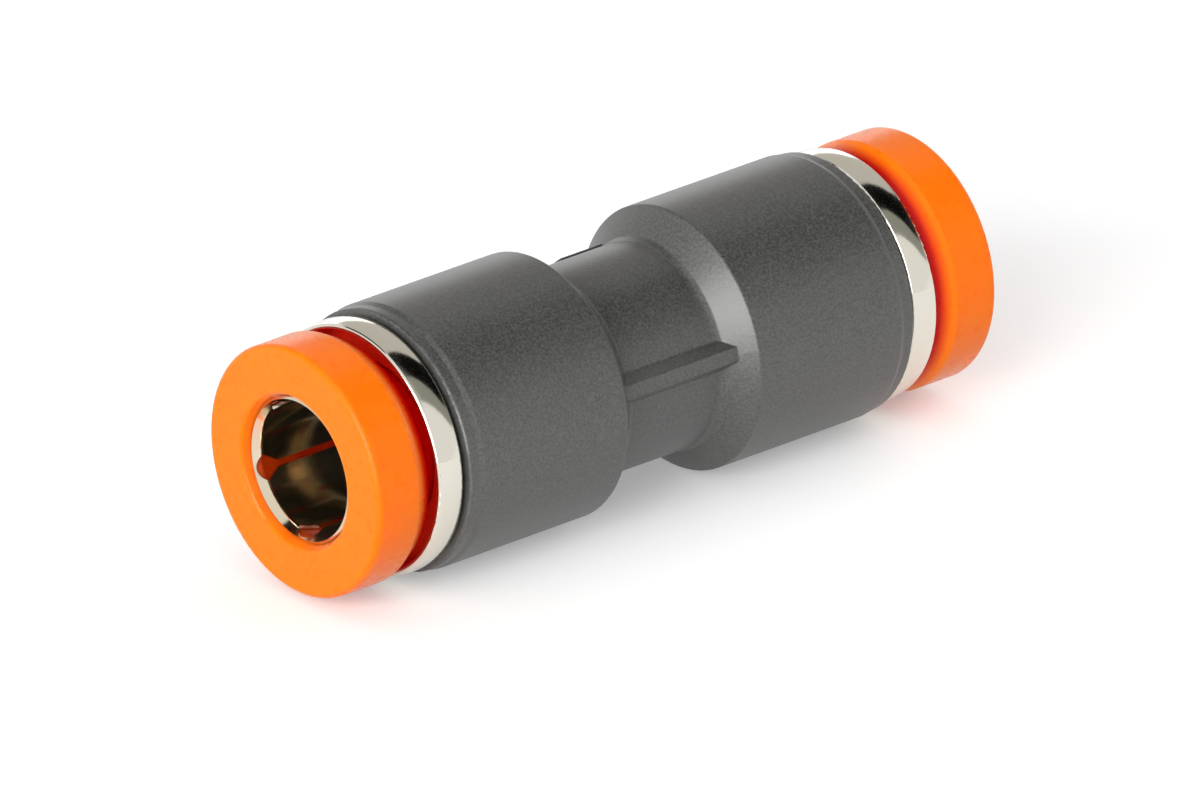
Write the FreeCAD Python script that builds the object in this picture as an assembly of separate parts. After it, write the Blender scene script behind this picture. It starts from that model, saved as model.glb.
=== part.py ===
import FreeCAD, Part
import math
import os

# A straight push-in union for 1/4 in (6.35 mm) pneumatic tube.
# It is modelled in millimetres, standing on end, with +Z along the bore and z = 0 on the lower
# button's face.  The two ports are mirror images about the middle plane.
# Every place along the axis is a station, counted outward from that plane, so a station
# of half_length is a button's front face.  The stations are stacked up from that face inward.

Vec = FreeCAD.Vector

# Driving dimensions

# Tube and flow path
tube_diameter = 6.35          # the tube that the fitting takes
tube_clearance = 0.075        # radial, tube to its socket
passage_radius = 2.35         # flow bore through the middle web
web_half = 1.4                # half the web, whose faces are the tube stops

# Body, a one-piece moulding
half_length = 19.3            # middle plane to a button's face, button at rest
barrel_radius = 6.6
barrel_step = 0.10            # radial drop to the shoulder
barrel_step_run = 0.28        # length of the sloped step
shoulder_length = 0.86        # step and shoulder together, up to the body's front face
body_edge_round = 0.12
waist_radius = 5.2
waist_half = 3.05             # middle plane to the line where the waist's cone starts
cone_run = 1.12               # length of the cone from waist to barrel
flare_height = 0.13           # the waist's ends flare up before the cone starts
flare_length = 0.40
rib_height = 0.62
rib_crest_width = 0.70
rib_draft_deg = 30.0
pad_height = 0.14             # plain raised pad on the waist
pad_length = 2.6
pad_arc_deg = 30.0
pad_angle_deg = 129.0         # about +Z from the first rib

# Seal gland and counterbore
gland_radius = 4.95
gland_length = 1.95
counterbore_radius = 5.45
lead_in = 0.30                # chamfer at the socket's mouth

# Guide ring, turned brass, pressed in the counterbore
ring_radius = 6.33            # at the middle of its crowned rim
ring_crown = 0.09
ring_reach = 1.72             # body's front face to the rim's front
ring_gap = 0.10               # open line between the body's front face and the rim
ring_wall = 0.29              # rim wall at the mouth
ring_rear_round = 0.20
ring_floor_gap = 1.0          # pressed button to the floor inside the rim
wedge_setback = 0.63          # body's front face to the start of the inner cone
wedge_slope = 0.25            # radial growth of the cone per unit of length
wedge_length = 1.60
wedge_clearance = 0.08        # collet to cone

# Release button, moulded in one piece with its sleeve
button_radius = 6.26
button_edge_round = 0.30
button_skirt_radius = 5.75    # at the rear of the flange
button_heel_round = 0.14      # between the flange's side and its rear cone
flange_length = 3.45          # face to the flange's rear
flange_gap = 0.30             # flange's rear to the ring's front
button_cone_run = 0.97
sleeve_wall = 0.65
sleeve_gap = 0.12             # sleeve's inner end to the collet
sleeve_clearance = 0.10       # radial, sleeve to the ring's throat
mouth_radius = 3.90           # countersink at the button's face
mouth_edge_round = 0.20
release_stroke = 0.70         # travel of the button, chuck and collet together

# Chuck, thin slotted strip-steel sleeve
sheet = 0.15
chuck_clearance = 0.02        # radial, socket line to the chuck's bore
lip_setback = 0.35            # button's face to the lip's edge
lip_bend = 0.35               # bore-side radius of the turned-out lip's bend
lip_length = 0.40             # straight part of the lip
lip_angle_deg = 30.0
seat_clearance = 0.05         # chuck to the button around it
bulge = 0.32                  # outward step of the finger ends
bulge_length = 0.60
bulge_ramp = 0.38
bulge_setback = 0.28          # collet's front to the full bulge
tooth_run = 0.45              # full bulge to the biting edge
tooth_clearance = 0.02        # radial, socket line to the biting edge
slit_count = 5
slit_start_deg = 42.0         # first slit, about +Z from the first rib
slit_width = 0.32
relief_width = 1.30           # wider front end of each slit
relief_length = 0.38          # rise of the arch that closes that end
relief_taper = 0.80           # from full width down to the slit's width
slit_setback = 0.10           # lip's edge to the slit's closed end

# Collet, split ring around the finger ends
collet_setback = 0.22         # start of the guide ring's cone to the collet's front
collet_length = 1.78
collet_ledge = 0.28           # thickness of its rear ledge
collet_hook = 0.19            # how far its front edge reaches in before the bulge
collet_split = 0.9
collet_gap = 0.08             # to the chuck that it encloses
collet_stop_gap = 0.25        # pressed collet to the gland

# Seal, one lip ring
seal_side_gap = 0.05
seal_rim_gap = 0.02
seal_lip_gap = 0.02           # radial, socket line to the lip
seal_lip_land = 0.35
seal_land_depth = 0.68        # open side to the lip's land
seal_lip_relief = 0.18        # radial opening of the lip on the open side
seal_leg = 0.35               # thickness of the outer leg
seal_heel_step = 0.20
seal_groove_rise = 0.10       # groove between lip and leg, past the land's edge

# Derived sizes: radii

socket_radius = tube_diameter / 2 + tube_clearance
shoulder_radius = barrel_radius - barrel_step
ring_mouth = ring_radius - ring_crown - ring_wall
chuck_bore = socket_radius + chuck_clearance
chuck_outer = chuck_bore + sheet
button_bore = chuck_outer + seat_clearance
sleeve_outer = button_bore + sleeve_wall
throat_radius = sleeve_outer + sleeve_clearance
tooth_radius = socket_radius + tooth_clearance
lip_angle = math.radians(lip_angle_deg)

# Derived sizes: stations, from the button's face inward

button_rear = half_length - flange_length
ring_front = button_rear - flange_gap
body_front = ring_front - ring_reach
barrel_end = body_front - shoulder_length
cone_end = waist_half + cone_run
pocket_floor = button_rear - release_stroke - ring_floor_gap
wedge_front = body_front - wedge_setback
wedge_back = wedge_front - wedge_length
collet_front = wedge_front - collet_setback
collet_rear = collet_front - collet_length
sleeve_end = collet_front + sleeve_gap
gland_end = collet_rear - release_stroke - collet_stop_gap
gland_start = gland_end - gland_length
ring_rear = gland_end + seal_side_gap
chuck_front = half_length - lip_setback
lip_start = chuck_front - lip_bend * math.sin(lip_angle) - lip_length * math.cos(lip_angle)
slit_front = chuck_front - slit_setback
bulge_front = collet_front - bulge_setback
bulge_rear = bulge_front - bulge_length
finger_end = bulge_rear - tooth_run


def at(station):
    """Height above the lower button's face of a station in the upper port."""
    return half_length + station


def unit(a, b):
    length = math.hypot(b[0] - a[0], b[1] - a[1])
    return (b[0] - a[0]) / length, (b[1] - a[1]) / length


def point(radius, station):
    return Vec(radius, 0, at(station))


def turned(corners):
    """Turn a closed outline about the bore axis.

    A corner is (radius, station) or (radius, station, round), and an edge's last item
    may be ("arc", radius, station): a point that the edge to the next corner passes through.
    """
    count = len(corners)
    starts, ends, blends = [], [], []
    for i, corner in enumerate(corners):
        here = corner[:2]
        rounding = corner[2] if len(corner) > 2 and not isinstance(corner[2], tuple) else 0
        if rounding:
            back = unit(here, corners[i - 1][:2])
            ahead = unit(here, corners[(i + 1) % count][:2])
            half = math.acos(back[0] * ahead[0] + back[1] * ahead[1]) / 2
            cut = rounding / math.tan(half)
            reach = rounding / math.sin(half) - rounding
            middle = unit((0, 0), (back[0] + ahead[0], back[1] + ahead[1]))
            ends.append(point(here[0] + back[0] * cut, here[1] + back[1] * cut))
            starts.append(point(here[0] + ahead[0] * cut, here[1] + ahead[1] * cut))
            blends.append(point(here[0] + middle[0] * reach, here[1] + middle[1] * reach))
        else:
            ends.append(point(*here))
            starts.append(point(*here))
            blends.append(None)
    edges = []
    for i, corner in enumerate(corners):
        following = (i + 1) % count
        if blends[i]:
            edges.append(Part.Arc(ends[i], blends[i], starts[i]).toShape())
        if isinstance(corner[-1], tuple):
            through = point(*corner[-1][1:])
            edges.append(Part.Arc(starts[i], through, ends[following]).toShape())
        else:
            edges.append(Part.makeLine(starts[i], ends[following]))
    face = Part.Face(Part.Wire(edges))
    return face.revolve(Vec(0, 0, 0), Vec(0, 0, 1), 360)


def mirrored(shape):
    """The same piece in the lower port."""
    return shape.mirror(Vec(0, 0, half_length), Vec(0, 0, 1))


def turned_to(shape, degrees):
    copy = shape.copy()
    copy.rotate(Vec(0, 0, 0), Vec(0, 0, 1), degrees)
    return copy


def half_body():
    """One port of the moulding, from the middle plane to its front face."""
    flare_start = waist_half - flare_length
    crest = waist_radius + flare_height
    return turned([
        (passage_radius, 0),
        (waist_radius, 0),
        (waist_radius, flare_start, ("arc", waist_radius + flare_height / 4, waist_half - flare_length / 2)),
        (crest, waist_half),
        (barrel_radius, cone_end, body_edge_round),
        (barrel_radius, barrel_end),
        (shoulder_radius, barrel_end + barrel_step_run),
        (shoulder_radius, body_front, body_edge_round),
        (counterbore_radius, body_front),
        (counterbore_radius, gland_end),
        (gland_radius, gland_end),
        (gland_radius, gland_start),
        (socket_radius + lead_in, gland_start),
        (socket_radius, gland_start - lead_in),
        (socket_radius, web_half),
        (passage_radius, web_half),
    ])


def waist_rib():
    """A drafted rib along +X that runs from cone to cone."""
    crest = waist_radius + rib_height
    foot = waist_radius + flare_height
    run = waist_half + cone_run * (crest - foot) / (barrel_radius - foot)
    inset = (waist_radius + passage_radius) / 2
    spread = (crest - inset) * math.tan(math.radians(rib_draft_deg))
    half_crest = rib_crest_width / 2
    outline = [
        Vec(inset, -half_crest - spread, at(-run)),
        Vec(crest, -half_crest, at(-run)),
        Vec(crest, half_crest, at(-run)),
        Vec(inset, half_crest + spread, at(-run)),
    ]
    section = Part.Face(Part.makePolygon(outline + outline[:1]))
    return section.extrude(Vec(0, 0, 2 * run))


def waist_pad():
    """A low plain pad on the side of the waist, in the lower half."""
    outer = waist_radius + pad_height
    inner = (waist_radius + passage_radius) / 2
    disc = Part.makeCylinder(outer, pad_length, Vec(0, 0, at(-pad_length)), Vec(0, 0, 1), pad_arc_deg)
    core = Part.makeCylinder(inner, pad_length, Vec(0, 0, at(-pad_length)))
    return turned_to(disc.cut(core), pad_angle_deg - pad_arc_deg / 2)


def body():
    upper = half_body()
    rib = waist_rib()
    shell = upper.fuse([mirrored(upper), rib, turned_to(rib, 180), waist_pad()])
    return shell.removeSplitter()


def guide_ring():
    """Rim outside the body, skirt pressed in the counterbore, cone for the collet inside."""
    edge = ring_radius - ring_crown
    rim_rear = body_front + ring_gap
    crown_middle = (rim_rear + ring_front) / 2
    cone_foot = throat_radius + wedge_slope * wedge_length
    return turned([
        (throat_radius, pocket_floor),
        (throat_radius, wedge_front),
        (cone_foot, wedge_back),
        (cone_foot, ring_rear),
        (counterbore_radius, ring_rear),
        (counterbore_radius, rim_rear),
        (edge - ring_rear_round, rim_rear),
        (edge, rim_rear + ring_rear_round, ("arc", ring_radius, crown_middle)),
        (edge, ring_front - ring_wall / 2, ("arc", edge - ring_wall / 2, ring_front)),
        (ring_mouth, ring_front - ring_wall / 2),
        (ring_mouth, pocket_floor),
    ])


def lip_point(offset, share, straight=0.0):
    """A point on the lip, offset outward from its bore side.

    It lies at a share of the bend's angle, then that far along the straight part.
    """
    turn = lip_angle * share
    reach = lip_bend - offset
    return (chuck_bore + lip_bend - reach * math.cos(turn) + straight * math.sin(turn),
            lip_start + reach * math.sin(turn) + straight * math.cos(turn))


def release_button():
    """Flange outside, sleeve inside, and a countersunk mouth that holds the chuck's lip."""
    seat = sheet + seat_clearance
    return turned([
        (button_bore, sleeve_end),
        (sleeve_outer, sleeve_end),
        (sleeve_outer, button_rear),
        (button_skirt_radius, button_rear),
        (button_radius, button_rear + button_cone_run, button_heel_round),
        (button_radius, half_length, button_edge_round),
        (mouth_radius, half_length, mouth_edge_round),
        lip_point(seat, 1, lip_length),
        lip_point(seat, 1),
        (button_bore, lip_start),
    ])


def slit():
    """Cutter for one slit: a wide front with an arched end, then a taper to the narrow slit."""
    neck = slit_front - relief_length
    throat = neck - relief_taper
    half_slit, half_relief = slit_width / 2, relief_width / 2
    corners = [Vec(0, y, at(z)) for y, z in (
        (-half_relief, neck), (-half_slit, throat), (-half_slit, finger_end - sheet),
        (half_slit, finger_end - sheet), (half_slit, throat), (half_relief, neck))]
    edges = [Part.makeLine(a, b) for a, b in zip(corners, corners[1:])]
    edges.append(Part.Arc(corners[-1], Vec(0, 0, at(slit_front)), corners[0]).toShape())
    return Part.Face(Part.Wire(edges)).extrude(Vec(button_radius, 0, 0))


def chuck():
    """Turned-out lip, thin sleeve, and fingers whose ends step out and turn in as teeth."""
    sleeve = turned([
        (chuck_bore, bulge_front + bulge_ramp),
        (chuck_bore, lip_start, ("arc", *lip_point(0, 0.5))),
        lip_point(0, 1),
        lip_point(0, 1, lip_length),
        lip_point(sheet, 1, lip_length),
        lip_point(sheet, 1),
        (chuck_outer, lip_start),
        (chuck_outer, bulge_front + bulge_ramp),
        (chuck_outer + bulge, bulge_front),
        (chuck_outer + bulge, bulge_rear),
        (tooth_radius + sheet, finger_end),
        (tooth_radius, finger_end),
        (chuck_bore + bulge, bulge_rear + sheet),
        (chuck_bore + bulge, bulge_front - sheet / 2),
    ])
    step = 360 / slit_count
    cutter = slit()
    return sleeve.cut([turned_to(cutter, slit_start_deg + step * i) for i in range(slit_count)])


def collet():
    """Split ring: a cone outside for the guide ring, a groove inside for the finger ends."""
    def cone_radius(station):
        return throat_radius + wedge_slope * (wedge_front - station) - wedge_clearance

    groove = chuck_outer + bulge + collet_gap
    ring = turned([
        (groove - collet_hook, collet_front),
        (cone_radius(collet_front), collet_front),
        (cone_radius(wedge_back), wedge_back),
        (cone_radius(wedge_back), collet_rear),
        (tooth_radius + collet_gap, collet_rear),
        (tooth_radius + collet_gap, collet_rear + collet_ledge),
        (groove, bulge_rear - collet_gap),
        (groove, bulge_front + collet_gap),
    ])
    split = Part.makeBox(barrel_radius, collet_split, collet_length + 2 * sheet,
                         Vec(0, -collet_split / 2, at(collet_rear - sheet)))
    return ring.cut(turned_to(split, slit_start_deg + 180 / slit_count))


def seal():
    """Lip ring: the lip and the outer leg open towards the tube stop."""
    rear = gland_start + seal_side_gap
    rim = gland_radius - seal_rim_gap
    lip = socket_radius + seal_lip_gap
    heel = (rim + lip) / 2
    land = rear + seal_land_depth
    return turned([
        (rim, rear),
        (rim, gland_end),
        (heel - seal_heel_step, gland_end),
        (lip, land + seal_lip_land),
        (lip, land),
        (lip + seal_lip_relief, rear),
        (heel, land + seal_groove_rise),
        (rim - seal_leg, rear),
    ])


def save(shape, node):
    if not shape.isValid():
        raise ValueError(node + " is not a valid solid")
    solids = shape.Solids
    print("%-18s %d solid, %8.2f mm3" % (node, len(solids), shape.Volume))
    (solids[0] if len(solids) == 1 else shape).exportStep("parts/%s.step" % node)


os.makedirs("parts", exist_ok=True)
save(body(), "body")
port_pieces = {
    "guide_ring": guide_ring,
    "release_button": release_button,
    "chuck": chuck,
    "collet": collet,
    "seal": seal,
}
for name, make in port_pieces.items():
    upper_piece = make()
    save(upper_piece, name + "_a")
    save(mirrored(upper_piece), name + "_b")
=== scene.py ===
# %% [markdown]
# A straight push-in union for air tube, lit and finished like a studio photograph.
#
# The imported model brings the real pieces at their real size: a grey moulded body, two plated
# guide rings, two orange release buttons, two slotted steel sleeves called chucks, and behind
# them two collets and two seals. This lesson gives each of them its finish, then lays out the
# camera, the floor and the light. Everything is in metres, with +Z along the bore.

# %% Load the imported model
import math

import bpy
from mathutils import Matrix, Vector


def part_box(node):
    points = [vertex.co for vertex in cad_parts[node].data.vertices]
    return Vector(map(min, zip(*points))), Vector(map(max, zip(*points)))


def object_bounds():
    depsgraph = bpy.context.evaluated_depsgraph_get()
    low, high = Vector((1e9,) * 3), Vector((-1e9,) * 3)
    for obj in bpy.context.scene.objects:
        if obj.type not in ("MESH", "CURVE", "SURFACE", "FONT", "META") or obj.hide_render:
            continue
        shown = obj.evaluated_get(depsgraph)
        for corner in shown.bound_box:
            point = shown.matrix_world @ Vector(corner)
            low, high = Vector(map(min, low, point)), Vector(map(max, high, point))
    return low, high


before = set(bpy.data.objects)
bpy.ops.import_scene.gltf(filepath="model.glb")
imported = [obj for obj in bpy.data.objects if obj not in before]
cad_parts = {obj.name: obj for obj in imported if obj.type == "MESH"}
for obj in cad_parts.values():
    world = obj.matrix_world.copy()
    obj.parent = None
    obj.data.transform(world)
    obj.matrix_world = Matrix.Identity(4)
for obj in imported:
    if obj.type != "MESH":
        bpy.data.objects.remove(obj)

cad_low, cad_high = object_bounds()
centre = (cad_low + cad_high) / 2
scene = bpy.context.scene
scene.view_settings.view_transform = "Standard"
print(len(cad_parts), "pieces loaded")

# %% [markdown]
# Units and colour. The drawing of this fitting is in millimetres, so sizes are written in
# millimetres and turned into metres once. Colours are written as the hex values that a paint
# program shows, which are sRGB. The shader works in linear light, so one function converts
# them. Typing linear numbers by eye is the usual way to end up with washed-out plastic.

# %% Units and colour
MM = 0.001
print("CAD box in mm:", [round(side / MM, 2) for side in cad_high - cad_low])


def linear(hex_colour):
    """A colour such as "#ff6a10" as linear red, green, blue and alpha."""
    channels = [int(hex_colour[i:i + 2], 16) / 255 for i in (1, 3, 5)]
    return [c / 12.92 if c <= 0.04045 else ((c + 0.055) / 1.055) ** 2.4 for c in channels] + [1.0]


def per_mm(size):
    """The scale of a texture whose features are to be this many millimetres across."""
    return 1 / (size * MM)


# %% [markdown]
# Building a material in code means adding nodes and wiring them. One small function does
# both: it makes a node, sets its properties and sockets, and links whatever is given as
# another node's output. A material then reads from top to bottom like a recipe.

# %% A node, its settings and its links
def add_node(tree, kind, properties=None, **sockets):
    """Add a node. A socket value that is itself an output socket becomes a link.

    A socket is named by its label with _ for each space, or by _ and its number.
    """
    node = tree.nodes.new(kind)
    for name, value in (properties or {}).items():
        setattr(node, name, value)
    for name, value in sockets.items():
        key = int(name[1:]) if name[0] == "_" and name[1:].isdigit() else name.replace("_", " ")
        socket = node.inputs[key]
        if isinstance(value, bpy.types.NodeSocket):
            tree.links.new(value, socket)
        else:
            socket.default_value = value
    return node


def new_material(name):
    """An empty node material and its tree."""
    material = bpy.data.materials.new(name)
    material.use_nodes = True
    tree = material.node_tree
    tree.nodes.clear()
    return material, tree


def dress(material, *names):
    """Give the named CAD nodes this material."""
    for name in names:
        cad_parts[name].material_slots[0].material = material
    print(material.name, "on", ", ".join(names))


# %% [markdown]
# The body is glass-filled nylon, injection moulded in a tool whose steel was spark eroded.
# The short glass fibres near the skin and the eroded tool give the eye two things: a fine
# speckle of lighter grains, and a soft broken sheen instead of a clear reflection.
# A noise texture at grain size drives the colour a little and the bump a little more.
# No moulded edge is knife sharp, and a rounded one catches a thin line of light. The bevel node
# rounds the shading at each edge by a real size, which costs no faces.

# %% Body: glass-filled nylon, moulded in a spark-eroded tool
grain_size = 0.13            # mm, one eroded crater; drawn coarse enough to show
grain_depth = 0.02           # mm
mottle_size = 1.8            # mm, slow cloudiness left by the flow of the melt
edge_round = 0.12            # mm, how far a moulded edge is rounded off


def glass_filled_nylon():
    material, tree = new_material("nylon_glass_filled_moulded")
    place = add_node(tree, "ShaderNodeTexCoord").outputs["Object"]
    grain = add_node(tree, "ShaderNodeTexNoise", Vector=place, Scale=per_mm(grain_size),
                     Detail=2.0, Roughness=0.6)
    mottle = add_node(tree, "ShaderNodeTexNoise", Vector=place, Scale=per_mm(mottle_size),
                      Detail=3.0, Roughness=0.55)
    speckle = add_node(tree, "ShaderNodeMapRange", Value=grain.outputs["Fac"],
                       From_Min=0.35, From_Max=0.75)
    skin = add_node(tree, "ShaderNodeMix", {"data_type": "RGBA"}, Factor=mottle.outputs["Fac"],
                    A=linear("#2f2f2e"), B=linear("#393937"))
    flecked = add_node(tree, "ShaderNodeMix", {"data_type": "RGBA"},
                       Factor=speckle.outputs["Result"], A=skin.outputs["Result"], B=linear("#525250"))
    dull = add_node(tree, "ShaderNodeMapRange", Value=grain.outputs["Fac"], To_Min=0.32, To_Max=0.46)
    worn = add_node(tree, "ShaderNodeBevel", {"samples": 6}, Radius=edge_round * MM)
    craters = add_node(tree, "ShaderNodeBump", Height=grain.outputs["Fac"], Strength=0.28,
                       Distance=grain_depth * MM, Normal=worn.outputs["Normal"])
    surface = add_node(tree, "ShaderNodeBsdfPrincipled", Base_Color=flecked.outputs["Result"],
                       Roughness=dull.outputs["Result"], IOR=1.53, Specular_IOR_Level=0.76,
                       Normal=craters.outputs["Normal"])
    add_node(tree, "ShaderNodeOutputMaterial", Surface=surface.outputs["BSDF"])
    return material


dress(glass_filled_nylon(), "body")

# %% [markdown]
# Some finishes here change with the place on the part. Two measures are taken from the packed
# model: how far out the guide ring's rim stands, and how wide the chuck's lip is. Two functions
# then tell a material where a point lies, along the bore from the fitting's middle and across
# the bore. Both ports are the same, so the absolute value of the first one serves them both.

# %% Measures along and across the bore
ring_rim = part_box("guide_ring_a")[1].z - centre.z
lip_radius = (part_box("chuck_a")[1].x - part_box("chuck_a")[0].x) / 2
print("ring rim", round(ring_rim / MM, 2), "mm out, lip radius", round(lip_radius / MM, 2), "mm")


def from_middle(tree, place):
    """The distance from the fitting's middle along the bore, negative towards port b."""
    height = add_node(tree, "ShaderNodeSeparateXYZ", Vector=place)
    return add_node(tree, "ShaderNodeMath", {"operation": "SUBTRACT"}, _0=height.outputs["Z"],
                    _1=centre.z).outputs[0]


def across_bore(tree, place):
    """The place with its height taken out: its length is the radius, its direction is outward."""
    return add_node(tree, "ShaderNodeVectorMath", {"operation": "MULTIPLY"}, _0=place,
                    _1=(1, 1, 0)).outputs[0]


# %% [markdown]
# The release buttons are acetal, a slippery plastic that moulds with a smooth satin skin.
# It is slightly translucent: light that enters comes out a little further on, redder than it
# went in. The subsurface setting of the shader does this, with a radius in real millimetres.
# Deep in the groove behind the flange light passes between orange walls many times and ends up
# dark red. Few bounces are traced here, so that shade is painted into the colour by place: a
# painted dark red shade over the last millimetre before the ring's rim, and a darker painted
# shade on the sleeve inside the bore.

# %% Button: acetal, moulded with a satin skin
ripple_size = 0.9            # mm, faint waves in the skin
ripple_depth = 0.05          # mm
glow_depth = 1.5             # mm that red light travels inside, and the others far less
# Painted shade: the groove's dark red, which fades to the orange over these distances past the ring's rim.
groove_shade_from, groove_shade_to = 0.5, 1.08             # mm outside the ring, from groove red to orange
# Painted shade: the darker red on the sleeve inside the bore, which fades out over these distances round the
# chuck's lip.
bore_shade_from, bore_shade_to = -0.3, 0.1           # mm outside the chuck's lip, from bore red to the rest


def orange_acetal():
    material, tree = new_material("acetal_moulded_orange")
    place = add_node(tree, "ShaderNodeTexCoord").outputs["Object"]
    ripple = add_node(tree, "ShaderNodeTexNoise", Vector=place, Scale=per_mm(ripple_size), Detail=2.0)
    tint = add_node(tree, "ShaderNodeMix", {"data_type": "RGBA"}, Factor=ripple.outputs["Fac"],
                    A=linear("#ff7200"), B=linear("#ff7a00"))
    depth = add_node(tree, "ShaderNodeMath", {"operation": "ABSOLUTE"}, _0=from_middle(tree, place))
    # Painted shade: dark red near the ring's rim, for the light lost in the groove, mixed over the orange.
    groove_shade_mask = add_node(tree, "ShaderNodeMapRange", Value=depth.outputs[0],
                           From_Min=ring_rim + groove_shade_from * MM, From_Max=ring_rim + groove_shade_to * MM)
    groove_shaded_tint = add_node(tree, "ShaderNodeMix", {"data_type": "RGBA"},
                       Factor=groove_shade_mask.outputs["Result"], A=linear("#d40a00"), B=tint.outputs["Result"])
    radius = add_node(tree, "ShaderNodeVectorMath", {"operation": "LENGTH"}, _0=across_bore(tree, place))
    # Painted shade: a darker red inside the bore, within the chuck's lip, over the rest of the colour.
    bore_shade_mask = add_node(tree, "ShaderNodeMapRange", Value=radius.outputs["Value"],
                           From_Min=lip_radius + bore_shade_from * MM, From_Max=lip_radius + bore_shade_to * MM)
    skin = add_node(tree, "ShaderNodeMix", {"data_type": "RGBA"},
                    Factor=bore_shade_mask.outputs["Result"], A=linear("#8c1800"), B=groove_shaded_tint.outputs["Result"])
    waves = add_node(tree, "ShaderNodeBump", Height=ripple.outputs["Fac"], Strength=0.08,
                     Distance=ripple_depth * MM)
    dull = add_node(tree, "ShaderNodeMapRange", Value=ripple.outputs["Fac"], To_Min=0.24, To_Max=0.32)
    surface = add_node(tree, "ShaderNodeBsdfPrincipled", Base_Color=skin.outputs["Result"],
                       Roughness=dull.outputs["Result"], IOR=1.48, Specular_IOR_Level=0.2,
                       Subsurface_Weight=0.6, Subsurface_Radius=(1.0, 0.08, 0.02),
                       Subsurface_Scale=glow_depth * MM, Normal=waves.outputs["Normal"])
    add_node(tree, "ShaderNodeOutputMaterial", Surface=surface.outputs["BSDF"])
    return material


dress(orange_acetal(), "release_button_a", "release_button_b")

# %% [markdown]
# The guide rings are turned brass with a bright nickel plate. Nickel is a warm, slightly
# yellow mirror. The lathe leaves fine rings round the axis under the plate. A wave texture
# whose bands run along Z draws them, with no seam and no unwrapping. Inside its rim the ring was
# only bored, so the wall and the floor of the groove are dull. There the colour also turns red:
# a painted reflection of the red button that they face. A surface's own direction tells them
# apart from the bright outside.

# %% Guide ring: turned brass, nickel plated
lathe_pitch = 0.377          # mm between tool marks; drawn coarser than they are, to show
lathe_depth = 0.01           # mm
wave_period = 2 * math.pi / 20           # of the wave texture, where its scale is 1
haze_size = 0.5              # mm, faint clouds in the plate
wall_from, wall_to = -0.6, -0.2          # cosine to the outward direction, inner wall to rim
flat_from, flat_to = 0.6, 0.9            # cosine to the way out of the port, slope to floor
floor_from, floor_to = 0.4, 0.3          # mm below the rim, where the groove's floor begins


def nickel_plate():
    material, tree = new_material("brass_turned_nickel_plated")
    place = add_node(tree, "ShaderNodeTexCoord").outputs["Object"]
    marks = add_node(tree, "ShaderNodeTexWave", {"bands_direction": "Z"}, Vector=place,
                     Scale=wave_period * per_mm(lathe_pitch), Distortion=1.0, Detail=1.0)
    haze = add_node(tree, "ShaderNodeTexNoise", Vector=place, Scale=per_mm(haze_size), Detail=3.0)
    gloss = add_node(tree, "ShaderNodeMapRange", Value=haze.outputs["Fac"], To_Min=0.08, To_Max=0.16)
    normal = add_node(tree, "ShaderNodeNewGeometry").outputs["Normal"]
    outward = add_node(tree, "ShaderNodeVectorMath", {"operation": "NORMALIZE"},
                       _0=across_bore(tree, place))
    facing = add_node(tree, "ShaderNodeVectorMath", {"operation": "DOT_PRODUCT"}, _0=normal,
                      _1=outward.outputs[0])
    wall = add_node(tree, "ShaderNodeMapRange", Value=facing.outputs["Value"], From_Min=wall_from,
                    From_Max=wall_to, To_Min=1.0, To_Max=0.0)
    height = from_middle(tree, place)
    depth = add_node(tree, "ShaderNodeMath", {"operation": "ABSOLUTE"}, _0=height)
    below_rim = add_node(tree, "ShaderNodeMapRange", Value=depth.outputs[0], To_Min=1.0, To_Max=0.0,
                         From_Min=ring_rim - floor_from * MM, From_Max=ring_rim - floor_to * MM)
    port = add_node(tree, "ShaderNodeMath", {"operation": "SIGN"}, _0=height)
    tilt = add_node(tree, "ShaderNodeSeparateXYZ", Vector=normal)
    level = add_node(tree, "ShaderNodeMath", {"operation": "MULTIPLY"}, _0=tilt.outputs["Z"],
                     _1=port.outputs[0])
    flat = add_node(tree, "ShaderNodeMapRange", Value=level.outputs[0], From_Min=flat_from,
                    From_Max=flat_to)
    ledge = add_node(tree, "ShaderNodeMath", {"operation": "MULTIPLY"}, _0=below_rim.outputs["Result"],
                     _1=flat.outputs["Result"])
    bored_and_painted_red = add_node(tree, "ShaderNodeMath", {"operation": "MAXIMUM"}, _0=wall.outputs["Result"],
                      _1=ledge.outputs[0])
    # Painted reflection: inside the rim the plate's colour turns red, for the button mirrored there; the
    # same mask makes the bored surface dull.
    plate = add_node(tree, "ShaderNodeMix", {"data_type": "RGBA"}, Factor=bored_and_painted_red.outputs[0],
                     A=linear("#d9d5c9"), B=linear("#ff4020"))
    dull = add_node(tree, "ShaderNodeMix", Factor=bored_and_painted_red.outputs[0], A=gloss.outputs["Result"], B=0.75)
    turned = add_node(tree, "ShaderNodeBump", Height=marks.outputs["Fac"], Strength=0.03,
                      Distance=lathe_depth * MM)
    surface = add_node(tree, "ShaderNodeBsdfPrincipled", Base_Color=plate.outputs["Result"],
                       Metallic=1.0, Roughness=dull.outputs["Result"], Normal=turned.outputs["Normal"])
    add_node(tree, "ShaderNodeOutputMaterial", Surface=surface.outputs["BSDF"])
    return material


dress(nickel_plate(), "guide_ring_a", "guide_ring_b")

# %% [markdown]
# The chuck is stamped from spring strip of stainless steel and rolled into a sleeve. Rolling
# and stamping draw streaks along the bore. The shader's anisotropy would smear the highlight
# the same way, but it wouldn't show the streaks themselves, so a noise stretched along Z drives
# the roughness and the bump instead.

# %% Chuck: stainless spring strip, stamped and rolled
streak_width = 0.12          # mm, wide enough to show
streak_length = 2.0          # mm
streak_depth = 0.01          # mm


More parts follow.
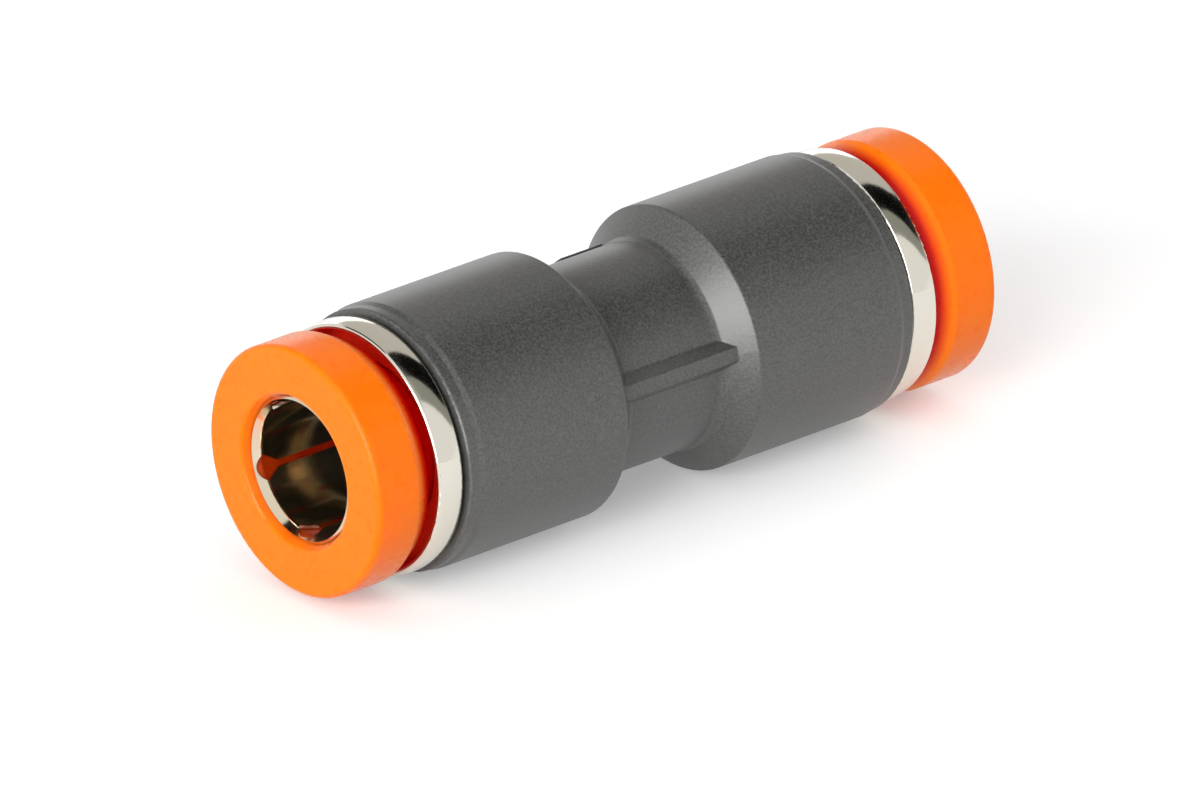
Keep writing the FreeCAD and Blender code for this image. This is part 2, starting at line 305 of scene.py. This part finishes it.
def stainless_strip():
    material, tree = new_material("stainless_strip_stamped")
    place = add_node(tree, "ShaderNodeTexCoord").outputs["Object"]
    drawn = add_node(tree, "ShaderNodeMapping", Vector=place, Scale=(1.0, 1.0, streak_width / streak_length))
    streaks = add_node(tree, "ShaderNodeTexNoise", Vector=drawn.outputs["Vector"],
                       Scale=per_mm(streak_width), Detail=2.0)
    gloss = add_node(tree, "ShaderNodeMapRange", Value=streaks.outputs["Fac"], To_Min=0.08, To_Max=0.18)
    lines = add_node(tree, "ShaderNodeBump", Height=streaks.outputs["Fac"], Strength=0.10,
                     Distance=streak_depth * MM)
    surface = add_node(tree, "ShaderNodeBsdfPrincipled", Base_Color=linear("#d8ccb4"), Metallic=1.0,
                       Roughness=gloss.outputs["Result"], Normal=lines.outputs["Normal"])
    add_node(tree, "ShaderNodeOutputMaterial", Surface=surface.outputs["BSDF"])
    return material


dress(stainless_strip(), "chuck_a", "chuck_b")

# %% [markdown]
# Behind the chuck sit the collet, moulded in acetal without pigment, and the seal, moulded in
# nitrile rubber. A tube hides them both, and without one they only show deep in the bore. The
# first is a milky, slightly uneven off-white. The second is black with a dusty bloom, so it
# needs a high roughness and a colour that is not quite black.

# %% Collet and seal
cloud_size = 0.8             # mm, uneven milkiness of the collet
bloom_size = 0.4             # mm, patches of dust on the seal


def two_shade_moulding(name, patch_size, detail, dark, light, roughness, ior):
    """A moulding in two close shades, in soft patches of a given size in millimetres."""
    material, tree = new_material(name)
    place = add_node(tree, "ShaderNodeTexCoord").outputs["Object"]
    patches = add_node(tree, "ShaderNodeTexNoise", Vector=place, Scale=per_mm(patch_size), Detail=detail)
    tint = add_node(tree, "ShaderNodeMix", {"data_type": "RGBA"}, Factor=patches.outputs["Fac"],
                    A=linear(dark), B=linear(light))
    surface = add_node(tree, "ShaderNodeBsdfPrincipled", Base_Color=tint.outputs["Result"],
                       Roughness=roughness, IOR=ior)
    add_node(tree, "ShaderNodeOutputMaterial", Surface=surface.outputs["BSDF"])
    return material


natural_acetal = two_shade_moulding("acetal_moulded_natural", cloud_size, 2.0, "#b8b2a0", "#c6c0ae",
                                    roughness=0.4, ior=1.48)
nitrile_rubber = two_shade_moulding("nitrile_rubber_moulded", bloom_size, 3.0, "#131313", "#202020",
                                    roughness=0.6, ior=1.52)
dress(natural_acetal, "collet_a", "collet_b")
dress(nitrile_rubber, "seal_a", "seal_b")

# %% [markdown]
# The camera. The photograph was taken with a long lens, so the far port is drawn almost as
# large as the near one. The view is given the way one would describe it on a turntable:
# how far round the bore axis, how far above the waist's plane, and how much the camera is
# rolled, which is what lays the standing fitting on its side in the picture.

# %% Camera
camera_azimuth = 18.0        # degrees about +Z from +X
camera_elevation = 36.14     # degrees towards +Z
camera_roll = -109.71        # degrees about the line of sight
camera_distance = 1.5844     # metres
camera_lens = 1000.0         # mm
aim_across = -0.218 * MM     # from the fitting's middle to the middle of the picture
aim_down = 1.84 * MM

azimuth = math.radians(camera_azimuth)
elevation = math.radians(camera_elevation)
towards_camera = Vector((math.cos(azimuth) * math.cos(elevation),
                         math.sin(azimuth) * math.cos(elevation), math.sin(elevation)))
level_right = Vector((-math.sin(azimuth), math.cos(azimuth), 0.0))
level_up = towards_camera.cross(level_right)
roll = math.radians(camera_roll)
picture_right = level_right * math.cos(roll) + level_up * math.sin(roll)
picture_up = towards_camera.cross(picture_right)

camera_data = bpy.data.cameras.new("camera")
camera_data.lens = camera_lens
camera = bpy.data.objects.new("camera", camera_data)
scene.collection.objects.link(camera)
aim = centre + picture_right * aim_across - picture_up * aim_down
turn = Matrix((picture_right, picture_up, towards_camera)).transposed()
camera.matrix_world = Matrix.Translation(aim + towards_camera * camera_distance) @ turn.to_4x4()
scene.camera = camera
print("camera at", [round(c, 4) for c in camera.location])

# %% [markdown]
# The floor. In the photograph the union lies on its barrels on a white table. Here it stands
# on end in its own frame, so the table becomes a plane that touches the barrels along one
# side. What the camera and the mirrors see is a white laminate with a little emission on top,
# so the table fades into a white background while it still holds the soft shadow. What lights
# the fitting from below is a greyer one, as if the white sheet were small. From behind, the
# plane lets camera rays through.

# %% Table material
floor_lift = 0.22            # what camera and mirror rays see added to the lit table


def table_top():
    material, tree = new_material("table_white_laminate")
    light_path = add_node(tree, "ShaderNodeLightPath")
    side = add_node(tree, "ShaderNodeNewGeometry")
    matt = add_node(tree, "ShaderNodeBsdfDiffuse", Color=linear("#c8c8c8"))
    white = add_node(tree, "ShaderNodeBsdfDiffuse", Color=linear("#fafafa"))
    glow = add_node(tree, "ShaderNodeEmission", Color=linear("#ffffff"), Strength=floor_lift)
    lifted = add_node(tree, "ShaderNodeAddShader", _0=white.outputs[0], _1=glow.outputs[0])
    seen = add_node(tree, "ShaderNodeMath", {"operation": "MAXIMUM"},
                    _0=light_path.outputs["Is Camera Ray"], _1=light_path.outputs["Is Glossy Ray"])
    front = add_node(tree, "ShaderNodeMixShader", Fac=seen.outputs[0], _1=matt.outputs[0],
                     _2=lifted.outputs[0])
    clear = add_node(tree, "ShaderNodeBsdfTransparent")
    through = add_node(tree, "ShaderNodeMath", {"operation": "MULTIPLY"},
                       _0=light_path.outputs["Is Camera Ray"], _1=side.outputs["Backfacing"])
    both = add_node(tree, "ShaderNodeMixShader", Fac=through.outputs[0], _1=front.outputs[0],
                    _2=clear.outputs[0])
    add_node(tree, "ShaderNodeOutputMaterial", Surface=both.outputs["Shader"])
    return material


# %% [markdown]
# A stage piece is a few corners and faces with a material. The barrels' radius, on which the
# table lies, comes from the imported body.

# %% Table
down_azimuth = math.radians(-103.1)      # the photograph's downward direction
photo_down = Vector((math.cos(down_azimuth), math.sin(down_azimuth), 0.0))
barrel_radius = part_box("body")[1].x
floor_half = 0.30            # metres, half a side of the square table


def stage_piece(name, corners, faces, material):
    """A mesh that is part of the stage."""
    mesh = bpy.data.meshes.new(name)
    mesh.from_pydata(corners, [], faces)
    mesh.materials.append(material)
    piece = bpy.data.objects.new(name, mesh)
    scene.collection.objects.link(piece)
    return piece


floor_turn = photo_down.to_track_quat("-Z", "Y").to_matrix()
floor_corners = [centre + photo_down * barrel_radius + floor_turn @ Vector((x, y, 0)) * floor_half
                 for x, y in ((-1, -1), (1, -1), (1, 1), (-1, 1))]
stage_piece("floor", floor_corners, [(0, 1, 2, 3)], table_top())
print("floor", round(barrel_radius / MM, 2), "mm from the bore axis")

# %% [markdown]
# Light. The photograph has the even light of a white tent, and one large softbox in front of
# the near port, a little to the camera's side. It makes the button's face and the far cone,
# which face it, brighter than the sides of the barrels. A weak one behind keeps the other port
# from going dull. The world stands for the tent. Mirrors see it at full strength, so that the
# plated rings look bright, while matt surfaces get only a soft fill.

# %% World
fill_strength = 0.58         # what the tent adds to matt surfaces
tent_strength = 1.0          # what mirrors and the camera see of it

scene.world = bpy.data.worlds.new("white_tent")
scene.world.use_nodes = True
sky_tree = scene.world.node_tree
sky_tree.nodes.clear()
path = add_node(sky_tree, "ShaderNodeLightPath")
mirrored = add_node(sky_tree, "ShaderNodeMath", {"operation": "MAXIMUM"},
                    _0=path.outputs["Is Camera Ray"], _1=path.outputs["Is Glossy Ray"])
seen = add_node(sky_tree, "ShaderNodeMath", {"operation": "MAXIMUM"},
                _0=mirrored.outputs[0], _1=path.outputs["Is Transmission Ray"])
strength = add_node(sky_tree, "ShaderNodeMapRange", Value=seen.outputs[0],
                    To_Min=fill_strength, To_Max=tent_strength)
sky = add_node(sky_tree, "ShaderNodeBackground", Color=linear("#ffffff"),
               Strength=strength.outputs["Result"])
add_node(sky_tree, "ShaderNodeOutputWorld", Surface=sky.outputs["Background"])
print("tent", tent_strength, "fill", fill_strength)

# %% [markdown]
# Directions on the table are easier to think of than directions in the part's own frame:
# across the table towards the camera, up from it, and along the bore towards the near port.

# %% Directions on the table
table_up = -photo_down
table_along = Vector((0, 0, 1))
table_across = table_along.cross(table_up)
if table_across.dot(towards_camera) < 0:
    table_across.negate()


def table_direction(across, up, along):
    """A direction on the table, as a unit vector in the part's frame."""
    return (table_across * across + table_up * up + table_along * along).normalized()


print("across the table", [round(c, 3) for c in table_across])

# %% [markdown]
# A softbox is a square area lamp. At this size and distance it fills about as much of the view
# from the fitting as a real one does, which makes the light soft. The camera doesn't see the
# lamps. Mirrors see the front one, and the weak one stays out of them, because the photograph
# shows no trace of it.

# %% Softboxes
softbox_distance = 0.9       # metres from the fitting
softbox_size = 0.8           # metres


def softbox(name, direction, watts, in_mirrors=True):
    """A square lamp that faces the fitting, and that mirrors may or may not see."""
    light = bpy.data.lights.new(name, "AREA")
    light.shape = "SQUARE"
    light.size = softbox_size
    light.energy = watts
    lamp = bpy.data.objects.new(name, light)
    scene.collection.objects.link(lamp)
    lamp.location = centre + direction * softbox_distance
    lamp.rotation_mode = "QUATERNION"
    lamp.rotation_quaternion = (-direction).to_track_quat("-Z", "Y")
    lamp.visible_camera = False
    lamp.visible_glossy = in_mirrors
    print(name, "at", [round(c, 3) for c in lamp.location])


softbox("softbox_front", table_direction(across=0.39, up=0.22, along=0.90), watts=13.2)
softbox("softbox_back", table_direction(across=0.0, up=0.12, along=-1.0), watts=4.0, in_mirrors=False)

# %% [markdown]
# Metal looks like metal because of what it mirrors. In a plain white tent the plated rings
# would look like grey plastic, so cloths hang above the table: the rings then show a black
# patch, a grey one next to it, and a dull white one behind, with a lit wall at its foot.
# These hang past the far port, because that is where the rings' sides mirror the room. One more
# black cloth reaches out past the near port, and darkens the chuck's lip and the rings' edges.
# Each cloth here is a strip of a tube round the bore axis. It is given at both ends by the
# degrees that it covers, counted up from the camera's side of the table, so it can slant.
# Only mirrored rays see it, so it takes no light away.

# %% Cloths
cloth_radius = 0.5           # metres from the bore axis
cloth_folds = 12             # flat pieces that make up a strip
near_hang = 0.25             # metres along the bore from the fitting's middle, past port a
middle_hang = -0.08          # just past port b
far_hang = -1.0              # well past port b


def cloth(name, near_end, near_degrees, far_end, far_degrees, shade, strength=1.0):
    """A strip round the bore axis, as bright as its shade, which only mirrors see.

    It runs from near_end to far_end along the bore, and at each end it covers a range of degrees.
    """
    material, tree = new_material("cloth_" + name)
    glow = add_node(tree, "ShaderNodeEmission", Color=linear(shade), Strength=strength)
    add_node(tree, "ShaderNodeOutputMaterial", Surface=glow.outputs["Emission"])
    corners = []
    for i in range(cloth_folds + 1):
        share = i / cloth_folds
        for along, (first, last) in ((near_end, near_degrees), (far_end, far_degrees)):
            angle = math.radians(first + (last - first) * share)
            rim = (table_across * math.cos(angle) + table_up * math.sin(angle)) * cloth_radius
            corners.append(centre + rim + table_along * along)
    faces = [(2 * i, 2 * i + 1, 2 * i + 3, 2 * i + 2) for i in range(cloth_folds)]
    strip = stage_piece(name, corners, faces, material)
    for ray in ("camera", "diffuse", "shadow", "transmission"):
        setattr(strip, "visible_" + ray, False)
    print(name, near_degrees, far_degrees, "degrees")


cloth("grey_side", middle_hang, (50, 74), far_hang, (10, 34), "#9a9c94")
cloth("black_overhead", middle_hang, (74, 99), far_hang, (34, 99), "#0a0a0a")
cloth("dull_white_behind", middle_hang, (99, 160), far_hang, (99, 160), "#d2cfca")
cloth("lit_wall_behind", middle_hang, (160, 192), far_hang, (160, 192), "#ffffff", strength=1.8)
cloth("black_over_the_port", near_hang, (100, 145), middle_hang, (100, 145), "#0a0a0a")
